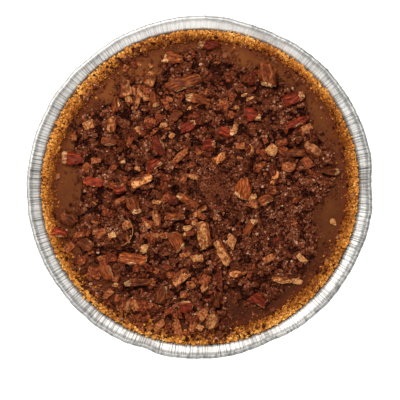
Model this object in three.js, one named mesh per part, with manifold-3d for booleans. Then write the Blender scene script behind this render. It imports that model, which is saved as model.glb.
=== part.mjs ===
// A pumpkin pie in a crumb crust, topped with streusel and chopped pecans, in the round foil tin it was baked in.
// Millimetres, +Z up. The origin is the middle of the tin's flat base, on the table.

import * as THREE from "three";
import { mergeVertices } from "three/addons/utils/BufferGeometryUtils.js";
import Module from "manifold-3d";

// Foil tin: a flat base, a pleated wall that leans out, a pleated flange and a rolled rim.
const RIM_RADIUS = 115;
const TIN_HEIGHT = 31;
const BASE_RADIUS = 86;
const WALL_TOP_RADIUS = 106.9;
const WALL_TOP = 27.6;
const WALL_FOOT_RADIUS = 87.6;
const WALL_FOOT = 2;
const FLANGE_TOP = 29.4;
const CURL_WIDTH = 3.8;
const CURL_DROP = 4;
const FOIL = 0.6;
const PLEATS = 80;
const PLEAT_DEPTH = 0.9;

// The tin is a little oval, and its rim has been pushed in where it was handled.
const OVAL = 0.008;
const OVAL_ANGLE = 20;
const RIM_DENTS = [
  { angle: 1, depth: 1.6, spread: 5 },
  { angle: -66, depth: 1.5, spread: 9 },
  { angle: 66, depth: 1.1, spread: 14 },
  { angle: -109, depth: 1.3, spread: 5 },
  { angle: 128, depth: 0.9, spread: 8 },
];

// Crumb crust: a floor and a wall pressed against the tin, with a ragged top edge.
const CRUST_FLOOR = 4;
const CRUST_WALL = 7.4;
const CRUST_TOP = 27.6;
const CRUST_FOOT_INSIDE = 80;
const CRUST_COLUMNS = 100;
const CRUST_CRUMBLE = 0.75;
// Stretches where the crust's wall is thinner on the inside.
const CRUST_THIN = [
  { angle: 52, depth: 3, spread: 50 },
  { angle: 200, depth: 1.8, spread: 14 },
];

// Pumpkin filling: it fills the crust, and its flat top lies a little below the crust's edge.
const FILLING_TOP = 24.6;

// Streusel: a thin uneven core on the filling, with crumb lumps and nut chips fused to it.
const CORE_THICKNESS = 2;
const CORE_UNEVEN = 0.45;
const CORE_EDGE = 0.8;
const CORE_COLUMNS = 48;
const CORE_RINGS = [1, 0.92, 0.78, 0.62, 0.44, 0.24];
const CORE_REACH = 92;
// Bays in the streusel's outline, where the bare filling shows.
const BARE_BAYS = [
  { angle: 180, depth: 12, spread: 17 },
  { angle: 134, depth: 11, spread: 7 },
  { angle: 115, depth: 15, spread: 7 },
  { angle: 70, depth: 8, spread: 8 },
  { angle: 27, depth: 10, spread: 7 },
  { angle: -12, depth: 16, spread: 10 },
  { angle: -47, depth: 8, spread: 8 },
  { angle: -74, depth: 20, spread: 6 },
  { angle: -137, depth: 12, spread: 8 },
];
const LUMPS = { count: 66, largest: 8, smallest: 3.2, flatness: 0.66, spacing: 0.58 };
const CHIPS = { count: 40, largest: 6.5, smallest: 3.6, flatness: 0.5, spacing: 0.9 };
// One large clod of crumbs stands out of the streusel at the lower left.
const CLOD = { x: -58.5, y: -31.5, size: 21, flatness: 0.42 };

const GAP = 0.3;
const SEED = 20;
const FULL_TURN = 2 * Math.PI;

// Chopped pecans, the pieces that are as large as a berry. Each row is its colour, its cross-section (lobed skin up,
// broken flesh up, or a thin shard), x and y of the middle, length, width, and the turn of the long side in degrees.
const PECANS = [
  ["red", "skin", 6, 95, 15, 6.5, 0],
  ["brown", "skin", -18, 86.5, 13.5, 7.5, -5],
  ["tan", "flesh", -33.5, 73, 10.5, 8, 70],
  ["tan", "flesh", -50, 66.5, 11.5, 8.5, 97],
  ["tan", "flesh", -42, 61, 16, 5.5, 80],
  ["brown", "shard", -56.5, 56, 11, 5.5, 85],
  ["brown", "skin", -31, 59, 10.5, 6.5, 110],
  ["brown", "skin", -10.5, 70, 24, 9, 18],
  ["brown", "skin", -1.5, 59, 17.5, 6, -12],
  ["brown", "skin", 44.4, 74.8, 16, 13, 100],
  ["red", "skin", 62, 59, 15.5, 8.5, 20],
  ["red", "skin", 64, 43.5, 14, 6, 22],
  ["red", "skin", 34.5, 48.5, 11.5, 8, -15],
  ["orange", "flesh", -17, 47.5, 11, 5.5, 32],
  ["red", "skin", -8, 41, 10.5, 7.5, 20],
  ["red", "skin", 6, 28.5, 9.5, 8, 5],
  ["red", "skin", 17.5, 37, 10, 6.5, -5],
  ["tan", "flesh", 13, 18.5, 9.5, 6, 35],
  ["red", "skin", -28.5, 28, 14, 7.5, -60],
  ["red", "skin", -31.5, 15, 11, 6.5, 28],
  ["cream", "flesh", -39, 4, 15.5, 6, 25],
  ["red", "skin", -53, -1, 8.5, 7.5, 0],
  ["red", "skin", -71, 3.5, 12.5, 6.5, -10],
  ["red", "skin", -84.5, 19.5, 15, 9.5, -5],
  ["brown", "skin", -61, 30.5, 10.5, 6, -5],
  ["tan", "flesh", -59, 41.5, 11.5, 8, 85],
  ["orange", "skin", -8.5, -8.5, 16, 5.5, -30],
  ["orange", "skin", 28.5, -1, 14, 11.5, 85],
  ["orange", "skin", 43.5, -8.5, 9.5, 6.5, 25],
  ["tan", "shard", 49.5, 6, 10, 5, 70],
  ["cream", "skin", 62.5, 22, 14.5, 5.5, 5],
  ["tan", "flesh", 74.5, 25, 14, 6.5, -35],
  ["brown", "skin", 86, 10.5, 12, 5.5, 0],
  ["brown", "skin", -44, -12, 12.5, 8, -65],
  ["tan", "flesh", -29, -20.5, 11.5, 6, -80],
  ["orange", "skin", -17, -19.5, 12.5, 5.5, 0],
  ["tan", "shard", -0.5, -16, 12, 5, 35],
  ["orange", "skin", 33, -26.5, 11.5, 6, 62],
  ["cream", "flesh", 3, -32, 18, 9.5, 100],
  ["orange", "skin", -16, -36, 13.5, 10, -60],
  ["cream", "flesh", 15.4, -43.9, 18, 7, -62],
  ["orange", "skin", -45, -47.5, 18.5, 8.5, -8],
  ["brown", "skin", -75, -38, 9.5, 8, -30],
  ["tan", "flesh", -87.4, -20.3, 12, 8.5, -38],
  ["tan", "flesh", -12.5, -60, 14, 7, 40],
  ["tan", "shard", 25, -58, 12, 5, 5],
  ["cream", "shard", 54.5, -61.5, 14, 5, -5],
  ["brown", "skin", -26, -71, 12.5, 7.5, 75],
  ["red", "skin", -9.5, -80, 10, 8.5, 0],
  ["tan", "skin", 12, -75.5, 10.5, 6, 80],
  ["red", "skin", 38.5, -76, 11.5, 8.5, -30],
  ["cream", "flesh", 8.5, -90, 11.5, 7.5, 62],
  ["orange", "skin", -62.5, -56.5, 11.5, 8.5, -60],
  ["brown", "skin", -41.5, -63.5, 18, 5, 3],
  ["tan", "flesh", -48, -78.5, 10, 6.5, 60],
  ["red", "skin", -93, -29.8, 10, 6, -8],
];

// Cross-sections of a pecan piece, one wide and one high, flat underneath: [across, up].
const PECAN_SECTIONS = {
  skin: [[-0.5, 0], [0.5, 0], [0.5, 0.4], [0.37, 0.82], [0.18, 1], [0.02, 0.76], [-0.17, 0.96], [-0.38, 0.78], [-0.5, 0.4]],
  flesh: [[-0.32, 0], [0.32, 0], [0.47, 0.35], [0.5, 0.84], [0.22, 0.95], [-0.04, 0.78], [-0.28, 1], [-0.5, 0.8], [-0.46, 0.3]],
  shard: [[-0.5, 0], [0.5, 0], [0.44, 0.42], [0.12, 1], [-0.2, 0.8], [-0.46, 0.38]],
};
const PECAN_HEIGHT = { skin: 0.56, flesh: 0.58, shard: 0.66 };
const PECAN_LEAST_HEIGHT = 3.4;
const PECAN_TAPER = { skin: 0.3, flesh: 0.22, shard: 0.5 };
const PECAN_STEPS = 2;
const LIFT_STEP = 0.2;

const wasm = await Module();
wasm.setup();

// A seeded source of numbers from 0 to 1, so that the pie is the same at each run.
function dice(seed) {
  let state = seed >>> 0;
  return () => {
    state = (state + 0x6d2b79f5) >>> 0;
    let t = Math.imul(state ^ (state >>> 15), state | 1);
    t ^= t + Math.imul(t ^ (t >>> 7), t | 61);
    return ((t ^ (t >>> 14)) >>> 0) / 4294967296;
  };
}

const between = (roll, low, high) => low + (high - low) * roll();
const radians = THREE.MathUtils.degToRad;

// How far an angle lies inside a soft notch: 1 in its middle, falling to 0 beyond its spread.
function notch(angle, { angle: middle, spread }) {
  const away = THREE.MathUtils.euclideanModulo(angle - radians(middle) + Math.PI, FULL_TURN) - Math.PI;
  return Math.exp(-((away / radians(spread)) ** 2));
}

// A body of revolution whose rows and columns may be uneven: place(row, column, angle) gives each point's r and z.
// The rows run from the axis underneath, out and round, and back to the axis on top.
function turned(rowCount, columns, place) {
  const blank = Array.from({ length: rowCount }, (_, row) => new THREE.Vector2(row ? 1 : 0, row));
  const geometry = new THREE.LatheGeometry(blank, columns);
  const position = geometry.getAttribute("position");
  for (let i = 0; i < position.count; i++) {
    const column = Math.floor(i / rowCount) % columns;
    const angle = (column / columns) * FULL_TURN;
    const { r, z } = place(i % rowCount, column, angle);
    position.setXYZ(i, r * Math.cos(angle), r * Math.sin(angle), z);
  }
  return geometry;
}

// Moves every point of a geometry by a rule that depends on its place alone, so that shared corners stay shared.
function reshape(geometry, rule) {
  const position = geometry.getAttribute("position");
  const point = new THREE.Vector3();
  for (let i = 0; i < position.count; i++) {
    rule(point.fromBufferAttribute(position, i));
    position.setXYZ(i, point.x, point.y, point.z);
  }
  return geometry;
}

function merged(geometry) {
  const bare = geometry.clone();
  bare.deleteAttribute("normal");
  bare.deleteAttribute("uv");
  return mergeVertices(bare, 1e-4);
}

function solidOf(geometry) {
  const mesh = merged(geometry);
  const vertProperties = new Float32Array(mesh.getAttribute("position").array);
  const triVerts = new Uint32Array(mesh.index.array);
  return new wasm.Manifold(new wasm.Mesh({ numProp: 3, vertProperties, triVerts }));
}

function geometryOf(solid) {
  const { vertProperties, triVerts } = solid.getMesh();
  const geometry = new THREE.BufferGeometry();
  geometry.setAttribute("position", new THREE.BufferAttribute(vertProperties, 3));
  return geometry.setIndex(new THREE.BufferAttribute(triVerts, 1));
}

// The oval of the whole pie, from nothing at the base to its full amount at the rim.
function oval(point) {
  const angle = Math.atan2(point.y, point.x);
  const share = point.z / TIN_HEIGHT;
  const stretch = 1 + OVAL * share * Math.cos(2 * (angle - radians(OVAL_ANGLE)));
  point.x *= stretch;
  point.y *= stretch;
}

// Row by row round the foil, from the axis under the base, up the outside, over the curl and down the inside. Each row
// is [r, z, share of the pleat depth, direction that a pleat stands out in].
function tinRows() {
  const wallOut = [0.83, -0.56];
  const bendOut = [0.45, -0.89];
  const flangeOut = [0, -1];
  const curlIn = RIM_RADIUS - CURL_WIDTH;
  const curlFoot = TIN_HEIGHT - CURL_DROP;
  return [
    [0, 0, 0, flangeOut],
    [BASE_RADIUS, 0, 0, wallOut],
    [WALL_FOOT_RADIUS + FOIL, WALL_FOOT - 0.4, 0.35, wallOut],
    [WALL_TOP_RADIUS + FOIL, WALL_TOP - 0.35, 1, bendOut],
    [curlIn, FLANGE_TOP - FOIL - 0.1, 0.6, flangeOut],
    [curlIn + 0.3, curlFoot + 0.9, 0, flangeOut],
    [curlIn + 0.5 * CURL_WIDTH, curlFoot, 0, flangeOut],
    [RIM_RADIUS, curlFoot + 0.42 * CURL_DROP, 0, flangeOut],
    [RIM_RADIUS - 0.7, TIN_HEIGHT - 0.5, 0, flangeOut],
    [RIM_RADIUS - 0.66 * CURL_WIDTH, TIN_HEIGHT, 0, flangeOut],
    [curlIn - 0.1, FLANGE_TOP, 0.6, flangeOut],
    [WALL_TOP_RADIUS, WALL_TOP, 1, bendOut],
    [WALL_FOOT_RADIUS, WALL_FOOT, 0.35, wallOut],
    [BASE_RADIUS - FOIL, FOIL, 0, wallOut],
    [0, FOIL, 0, flangeOut],
  ];
}

function foilTin() {
  const rows = tinRows();
  const columns = 2 * PLEATS;
  const roll = dice(SEED);
  const fold = Array.from({ length: columns }, (_, column) => (column % 2 ? 1 : -1) * between(roll, 0.55, 1.1));
  return turned(rows.length, columns, (row, column, angle) => {
    const [r, z, share, [outR, outZ]] = rows[row];
    const push = 0.5 * PLEAT_DEPTH * share * fold[column];
    const nearRim = THREE.MathUtils.smoothstep(r, WALL_TOP_RADIUS, RIM_RADIUS - CURL_WIDTH);
    const dent = RIM_DENTS.reduce((sum, d) => sum + d.depth * notch(angle, d), 0);
    return { r: r + push * outR - nearRim * dent, z: z + push * outZ };
  });
}

// The crust's outside at a height: the tin's inner wall, less the pleats and a gap.
function crustOutside(z) {
  const lean = (WALL_TOP_RADIUS - WALL_FOOT_RADIUS) / (WALL_TOP - WALL_FOOT);
  return WALL_FOOT_RADIUS + lean * (z - WALL_FOOT) - 0.5 * PLEAT_DEPTH - GAP;
}

const crustFloorTop = FOIL + CRUST_FLOOR;

function crustInside(z) {
  const topInside = crustOutside(CRUST_TOP) - CRUST_WALL;
  const lean = (topInside - CRUST_FOOT_INSIDE) / (CRUST_TOP - crustFloorTop);
  return CRUST_FOOT_INSIDE + lean * (z - crustFloorTop);
}

// How much thinner the crust's wall is at an angle.
function crustThin(angle) {
  return CRUST_THIN.reduce((sum, stretch) => sum + stretch.depth * notch(angle, stretch), 0);
}

// The rows go under the floor, up the outside, over the ragged top and down the inside. The third number is the share
// of the crumble that roughens the row, the fourth the share of the thinning.
function crumbCrust() {
  const outerLip = crustOutside(CRUST_TOP - 1.6);
  const innerLip = crustInside(CRUST_TOP - 0.6);
  const rows = [
    [0, FOIL, 0, 0],
    [BASE_RADIUS - 2.2, FOIL, 0, 0],
    [crustOutside(WALL_FOOT + 0.6), WALL_FOOT + 0.6, 0, 0],
    [outerLip, CRUST_TOP - 1.6, 0, 0],
    [outerLip - 0.2, CRUST_TOP - 0.2, 0.9, 0],
    [outerLip - 0.38 * CRUST_WALL, CRUST_TOP + 0.3, 1, 0.4],
    [innerLip + 0.22 * CRUST_WALL, CRUST_TOP, 1, 0.8],
    [innerLip, CRUST_TOP - 1.4, 0.9, 1],
    [crustInside(FILLING_TOP), FILLING_TOP, 0, 1],
    [CRUST_FOOT_INSIDE, crustFloorTop, 0, 0],
    [0, crustFloorTop, 0, 0],
  ];
  const roll = dice(SEED + 1);
  const rough = rows.map(() => Array.from({ length: CRUST_COLUMNS }, () => [2 * roll() - 1, 2 * roll() - 1]));
  return turned(rows.length, CRUST_COLUMNS, (row, column, angle) => {
    const [r, z, share, thin] = rows[row];
    const [roughR, roughZ] = rough[row][column];
    const amount = CRUST_CRUMBLE * share;
    return { r: r + thin * crustThin(angle) + 0.7 * amount * roughR, z: z + amount * roughZ };
  });
}

function pumpkinFilling() {
  const topRadius = crustInside(FILLING_TOP - 0.5) - GAP;
  const thinLow = (FILLING_TOP - 0.5 - crustFloorTop) / (FILLING_TOP - crustFloorTop);
  const rows = [
    [0, crustFloorTop, 0],
    [CRUST_FOOT_INSIDE - GAP, crustFloorTop, 0],
    [topRadius, FILLING_TOP - 0.5, thinLow],
    [topRadius - 0.8, FILLING_TOP, thinLow],
    [0, FILLING_TOP, 0],
  ];
  return turned(rows.length, CRUST_COLUMNS, (row, _column, angle) => {
    const [r, z, thin] = rows[row];
    return { r: r + thin * crustThin(angle), z };
  });
}

// The streusel's outline: nearly the crust's inside, with the bare bays taken out.
function streuselReach(angle) {
  const wobble = 0.9 * Math.sin(5 * angle + 1) + 0.7 * Math.sin(11 * angle + 2.3);
  return CORE_REACH + wobble - BARE_BAYS.reduce((sum, bay) => sum + bay.depth * notch(angle, bay), 0);
}

// Top of the streusel's core at a place on it.
function coreTop(x, y) {
  const away = Math.hypot(x, y) / streuselReach(Math.atan2(y, x));
  const swell = Math.sin(0.11 * x + 0.6) * Math.cos(0.13 * y - 0.4) + 0.6 * Math.sin(0.17 * (x + y) + 1.7);
  const middle = CORE_THICKNESS + CORE_UNEVEN * swell;
  const edge = THREE.MathUtils.smoothstep(away, 0.8, 1);
  return FILLING_TOP + THREE.MathUtils.lerp(middle, CORE_EDGE, edge);
}

// What a thing laid on the pie at this place rests on.
function supportTop(x, y) {
  const r = Math.hypot(x, y);
  const angle = Math.atan2(y, x);
  if (r > crustInside(CRUST_TOP) + crustThin(angle) - 1.3) return CRUST_TOP + CRUST_CRUMBLE + GAP;
  return r < streuselReach(angle) ? coreTop(x, y) : FILLING_TOP;
}

function streuselCore() {
  const rows = CORE_RINGS.length + 3;
  return turned(rows, CORE_COLUMNS, (row, column, angle) => {
    const reach = streuselReach(angle);
    if (row === 0) return { r: 0, z: FILLING_TOP };
    if (row === 1) return { r: reach, z: FILLING_TOP };
    const r = row === rows - 1 ? 0 : reach * CORE_RINGS[row - 2];
    return { r, z: coreTop(r * Math.cos(angle), r * Math.sin(angle)) };
  });
}

// Distance from a place to a pecan's outline, seen from above; negative inside it.
function clearOfPecan(x, y, [, , px, py, length, width, turn]) {
  const c = Math.cos(radians(turn));
  const s = Math.sin(radians(turn));
  const along = Math.abs((x - px) * c + (y - py) * s) - 0.5 * length;
  const across = Math.abs((y - py) * c - (x - px) * s) - 0.5 * width;
  const inside = Math.min(0, Math.max(along, across));
  return inside + Math.hypot(Math.max(0, along), Math.max(0, across));
}

// Places for small pieces on the core, largest first, apart from each other and clear of the pecans.
function scatter({ count, largest, smallest, spacing }, roll, taken) {
  const places = [];
  for (let i = 0; i < count; i++) {
    const size = THREE.MathUtils.lerp(largest, smallest, Math.sqrt(i / count));
    for (let attempt = 0; attempt < 200; attempt++) {
      const angle = FULL_TURN * roll();
      const r = (streuselReach(angle) - 0.6 * size) * Math.sqrt(roll());
      const [x, y] = [r * Math.cos(angle), r * Math.sin(angle)];
      const free = PECANS.every((pecan) => clearOfPecan(x, y, pecan) > 0.62 * size + GAP);
      const apart = taken.every((other) => Math.hypot(x - other.x, y - other.y) > spacing * (size + other.size));
      if (!free || !apart) continue;
      const place = { x, y, size };
      places.push(place);
      taken.push(place);
      break;
    }
  }
  return places;
}

// Sets a small shape down on the core, turned at random and sunk a little into it.
function onCore(geometry, { x, y, size }, flatness, sunk, roll) {
  geometry.rotateZ(FULL_TURN * roll());
  geometry.scale(0.5 * size, 0.5 * size * between(roll, 0.7, 0.95), 0.5 * size * flatness);
  geometry.rotateZ(FULL_TURN * roll());
  geometry.translate(x, y, coreTop(x, y) + size * sunk);
  return solidOf(geometry);
}

// A rough lump of crumbs with the given number of subdivisions of its 20 faces.
function lump(place, flatness, detail, roll) {
  const geometry = merged(new THREE.IcosahedronGeometry(1, detail));
  reshape(geometry, (point) => point.multiplyScalar(between(roll, 0.84, 1.12)));
  return onCore(geometry, place, flatness, 0.08, roll);
}

// A chip of nut: a block with uneven corners.
function chip(place, roll) {
  const geometry = merged(new THREE.BoxGeometry(1.7, 1, 1.6));
  reshape(geometry, (point) => point.multiplyScalar(between(roll, 0.75, 1.15)));
  geometry.rotateY(between(roll, -0.35, 0.35));
  return onCore(geometry, place, CHIPS.flatness, 0.03, roll);
}

// The core with its lumps and chips, all that are clear of the pecans.
function streusel(core, pecans) {
  const roll = dice(SEED + 2);
  const taken = [CLOD];
  const pieces = [lump(CLOD, CLOD.flatness, 1, roll)];
  for (const place of scatter(LUMPS, roll, taken)) pieces.push(lump(place, LUMPS.flatness, 0, roll));
  for (const place of scatter(CHIPS, roll, taken)) pieces.push(chip(place, roll));
  const clear = pieces.filter((piece) => piece.intersect(pecans).volume() === 0);
  const under = new THREE.BoxGeometry(2 * RIM_RADIUS, 2 * RIM_RADIUS, FILLING_TOP);
  under.translate(0, 0, 0.5 * FILLING_TOP);
  return geometryOf(core.add(wasm.Manifold.union(clear).subtract(solidOf(under))));
}

// A chopped pecan: its cross-section drawn out, tapered to the ends, bent a little and broken off at a slant.
function pecan([, section, , , length, width, turn], roll) {
  const height = Math.max(PECAN_LEAST_HEIGHT, PECAN_HEIGHT[section] * width);
  const outline = PECAN_SECTIONS[section].map(([across, up]) => {
    return new THREE.Vector2(across * width * between(roll, 0.88, 1.06), up * height * between(roll, 0.9, 1.05));
  });
  const geometry = new THREE.ExtrudeGeometry(new THREE.Shape(outline), {
    depth: length,
    steps: PECAN_STEPS,
    bevelEnabled: false,
  });
  geometry.applyMatrix4(new THREE.Matrix4().set(0, 0, 1, -0.5 * length, 1, 0, 0, 0, 0, 1, 0, 0, 0, 0, 0, 1));
  const slant = [between(roll, -0.3, 0.3), between(roll, -0.3, 0.3)];
  const bend = between(roll, -0.12, 0.12) * width;
  const taper = PECAN_TAPER[section];
  const thick = [between(roll, 0.8, 1), between(roll, 0.8, 1)];
  reshape(geometry, (point) => {
    const along = point.x / (0.5 * length);
    const end = along < 0 ? 0 : 1;
    const narrow = 1 - taper * along * along * (end ? 1 : 0.6);
    point.x += slant[end] * Math.abs(along) * point.y - 0.12 * Math.abs(along) * Math.sign(along) * point.z;
    point.y = point.y * narrow + bend * (1 - along * along);
    point.z *= THREE.MathUtils.lerp(1, thick[end], Math.abs(along));
  });
  return geometry.rotateZ(radians(turn));
}

// The highest support under a piece whose underside is flat, at its corners and half way out to them.
function restHeight(geometry, x, y) {
  const position = geometry.getAttribute("position");
  let highest = supportTop(x, y);
  for (let i = 0; i < position.count; i++) {
    const [dx, dy] = [position.getX(i), position.getY(i)];
    for (const share of [0.5, 1]) highest = Math.max(highest, supportTop(x + share * dx, y + share * dy));
  }
  return highest;
}

// Sets a pecan piece down clear of what is under it, lifted in small steps while it still touches.
function settled(geometry, x, y, beds) {
  geometry.translate(x, y, restHeight(geometry, x, y) + GAP);
  while (beds.some((bed) => solidOf(geometry).intersect(bed).volume() > 0)) geometry.translate(0, 0, LIFT_STEP);
  return geometry;
}

const matt = (color, roughness) => new THREE.MeshStandardMaterial({ color, roughness, metalness: 0 });
const foilMetal = new THREE.MeshStandardMaterial({ color: 0xc9c8c4, roughness: 0.32, metalness: 1 });
const crumbs = matt(0xa5652c, 0.9);
const pumpkin = matt(0x6f3c1c, 0.5);
const streuselBrown = matt(0x5c2f1d, 0.85);
const pecanMaterials = {
  red: matt(0x7d3320, 0.5),
  brown: matt(0x8a4a2a, 0.5),
  orange: matt(0xa85426, 0.5),
  tan: matt(0xb27a45, 0.65),
  cream: matt(0xcfa468, 0.7),
};

const pie = new THREE.Group();

function addPiece(name, geometry, material) {
  const mesh = new THREE.Mesh(reshape(geometry, oval), material);
  mesh.name = name;
  pie.add(mesh);
}

const crust = crumbCrust();
const core = solidOf(streuselCore());
const beds = [core, solidOf(crust), solidOf(pumpkinFilling())];
const pecanRoll = dice(SEED + 3);
const pecans = PECANS.map((row) => settled(pecan(row, pecanRoll), row[2], row[3], beds));

addPiece("foil_tin", foilTin(), foilMetal);
addPiece("crumb_crust", crust, crumbs);
addPiece("pumpkin_filling", pumpkinFilling(), pumpkin);
addPiece("streusel", streusel(core, wasm.Manifold.union(pecans.map(solidOf))), streuselBrown);
PECANS.forEach(([colour], index) => {
  const number = String(index + 1).padStart(2, "0");
  addPiece(`pecan_${colour}_${number}`, pecans[index], pecanMaterials[colour]);
});

export default pie;
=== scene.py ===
"""A pumpkin streusel pie in its foil tin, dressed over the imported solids.

Everything is in metres, in the solids' own frame: the origin is the middle of the tin's flat base,
+Z points up, and +Y points to the top of the photograph.
"""

import logging
import math
from dataclasses import dataclass, field
from enum import Enum

import bmesh
import bpy
import numpy as np
from mathutils import Matrix, Vector, noise
from mathutils.bvhtree import BVHTree


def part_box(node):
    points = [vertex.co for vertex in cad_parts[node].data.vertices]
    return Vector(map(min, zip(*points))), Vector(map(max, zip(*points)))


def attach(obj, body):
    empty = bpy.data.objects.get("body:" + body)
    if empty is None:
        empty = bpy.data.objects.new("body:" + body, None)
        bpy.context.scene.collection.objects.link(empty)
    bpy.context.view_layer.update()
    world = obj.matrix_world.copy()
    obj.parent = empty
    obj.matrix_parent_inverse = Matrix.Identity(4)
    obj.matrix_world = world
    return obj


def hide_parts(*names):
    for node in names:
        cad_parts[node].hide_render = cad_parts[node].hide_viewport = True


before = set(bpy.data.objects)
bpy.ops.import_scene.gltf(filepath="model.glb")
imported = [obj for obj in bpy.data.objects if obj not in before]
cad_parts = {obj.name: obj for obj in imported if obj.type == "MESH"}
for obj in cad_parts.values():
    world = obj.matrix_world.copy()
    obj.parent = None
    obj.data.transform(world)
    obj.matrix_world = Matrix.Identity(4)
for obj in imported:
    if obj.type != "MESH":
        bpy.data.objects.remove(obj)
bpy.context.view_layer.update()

log = logging.getLogger("pie")

MM = 0.001
TURN = 2 * math.pi
BODY = "root"

BMesh = bmesh.types.BMesh
Material = bpy.types.Material
Piece = bpy.types.Object
Span = tuple[float, float]
Triple = tuple[float, float, float]
Colour = Triple
Stops = tuple[tuple[float, Colour], ...]


# Shader expressions


class Wire:
    """A socket of a shader node that can be used in arithmetic."""

    def __init__(self, shader: "Shader", socket: bpy.types.NodeSocket) -> None:
        """Keeps the socket and the shader it belongs to."""
        self.shader = shader
        self.socket = socket

    def _math(self, operation: str, first: "Wire | float", second: "Wire | float" = 0.0) -> "Wire":
        """The result of one Math node on two values."""
        return self.shader.node("ShaderNodeMath", {"operation": operation}, {0: first, 1: second})

    def __add__(self, other: "Wire | float") -> "Wire":
        """Sum."""
        return self._math("ADD", self, other)

    __radd__ = __add__

    def __sub__(self, other: "Wire | float") -> "Wire":
        """Difference."""
        return self._math("SUBTRACT", self, other)

    def __rsub__(self, other: float) -> "Wire":
        """Difference from a number."""
        return self._math("SUBTRACT", other, self)

    def __mul__(self, other: "Wire | float") -> "Wire":
        """Product."""
        return self._math("MULTIPLY", self, other)

    __rmul__ = __mul__

    def clamped(self) -> "Wire":
        """The value held between 0 and 1."""
        return self.shader.node("ShaderNodeClamp", {}, {"Value": self})

    def ramp(self, low: float, high: float) -> "Wire":
        """The value spread so that low becomes 0 and high becomes 1, with soft ends."""
        inputs = {"Value": self, "From Min": low, "From Max": high}
        return self.shader.node("ShaderNodeMapRange", {"interpolation_type": "SMOOTHSTEP"}, inputs)


class Shader:
    """The node tree of one material, written as expressions."""

    def __init__(self, name: str) -> None:
        """Makes an empty material of this name."""
        self.material = bpy.data.materials.new(name)
        self.material.use_nodes = True
        self.tree = self.material.node_tree
        self.tree.nodes.clear()
        self.places = self.node("ShaderNodeTexCoord", {}, {}, "Object")

    def node(self, kind: str, settings: dict, inputs: dict, output: str | int = 0) -> Wire:
        """Adds one node.

        Args:
            kind: The node's type.
            settings: Its properties, set first; "stops" holds a ramp's (position, colour) pairs.
            inputs: Values or wires for its sockets, by name or number.
            output: The socket to return.

        Returns:
            The chosen output.
        """
        node = self.tree.nodes.new(kind)
        for name, value in settings.items():
            if name == "stops":
                self._set_stops(node.color_ramp, value)
            else:
                setattr(node, name, value)
        for name, value in inputs.items():
            if isinstance(value, Wire):
                self.tree.links.new(value.socket, node.inputs[name])
            else:
                node.inputs[name].default_value = value
        return Wire(self, node.outputs[output])

    @staticmethod
    def _set_stops(ramp: bpy.types.ColorRamp, stops: Stops) -> None:
        """Gives a colour ramp its stops."""
        while len(ramp.elements) < len(stops):
            ramp.elements.new(1.0)
        for element, (position, colour) in zip(ramp.elements, stops):
            element.position = position
            element.color = (*colour, 1.0)

    def noise(self, grain: float, detail: float, rough: float = 0.55, places: Wire | None = None) -> Wire:
        """Cloudy noise from 0 to 1.

        Args:
            grain: The size of its largest blots, in metres.
            detail: How many finer layers it has.
            rough: How strong the finer layers are.
            places: Coordinates, if not the object's own.

        Returns:
            The noise value.
        """
        inputs = {"Vector": places or self.places, "Scale": 1 / grain, "Detail": detail, "Roughness": rough}
        return self.node("ShaderNodeTexNoise", {}, inputs)

    def cells(self, grain: float, output: str = "Distance") -> Wire:
        """Cell noise, whose cells are about one grain wide."""
        inputs = {"Vector": self.places, "Scale": 1 / grain}
        return self.node("ShaderNodeTexVoronoi", {}, inputs, output)

    def attribute(self, name: str) -> Wire:
        """A number kept on the mesh's points."""
        return self.node("ShaderNodeAttribute", {"attribute_name": name}, {}, "Fac")

    def mix(self, share: Wire | float, first: Wire | Colour, second: Wire | Colour) -> Wire:
        """A colour between two colours.

        Args:
            share: 0 for the first, 1 for the second.
            first: A colour.
            second: A colour.

        Returns:
            The mixed colour.
        """
        first = first if isinstance(first, Wire) else (*first, 1.0)
        second = second if isinstance(second, Wire) else (*second, 1.0)
        return self.node("ShaderNodeMix", {"data_type": "RGBA"}, {0: share, 6: first, 7: second}, 2)

    def stops(self, value: Wire, stops: Stops) -> Wire:
        """A colour read off a ramp."""
        return self.node("ShaderNodeValToRGB", {"stops": stops}, {0: value})

    def axis(self, axis: str) -> Wire:
        """The point's own X, Y or Z, in metres."""
        return self.node("ShaderNodeSeparateXYZ", {}, {0: self.places}, axis)

    def bump(self, height: Wire, depth: float, strength: float) -> Wire:
        """The normal that a relief of this height, from 0 to 1, makes at a depth in metres."""
        return self.node("ShaderNodeBump", {}, {"Height": height, "Distance": depth, "Strength": strength})

    def finish(self, **sockets: "Wire | float | Colour") -> Material:
        """Feeds the surface shader and closes the tree.

        Args:
            **sockets: The shader's inputs, with _ for a space in their names.

        Returns:
            The finished material.
        """
        inputs = {}
        for name, value in sockets.items():
            is_colour = isinstance(value, tuple)
            inputs[name.replace("_", " ")] = (*value, 1.0) if is_colour else value
        surface = self.node("ShaderNodeBsdfPrincipled", {}, inputs)
        output = self.tree.nodes.new("ShaderNodeOutputMaterial")
        self.tree.links.new(surface.socket, output.inputs["Surface"])
        return self.material


# Finishes


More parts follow.
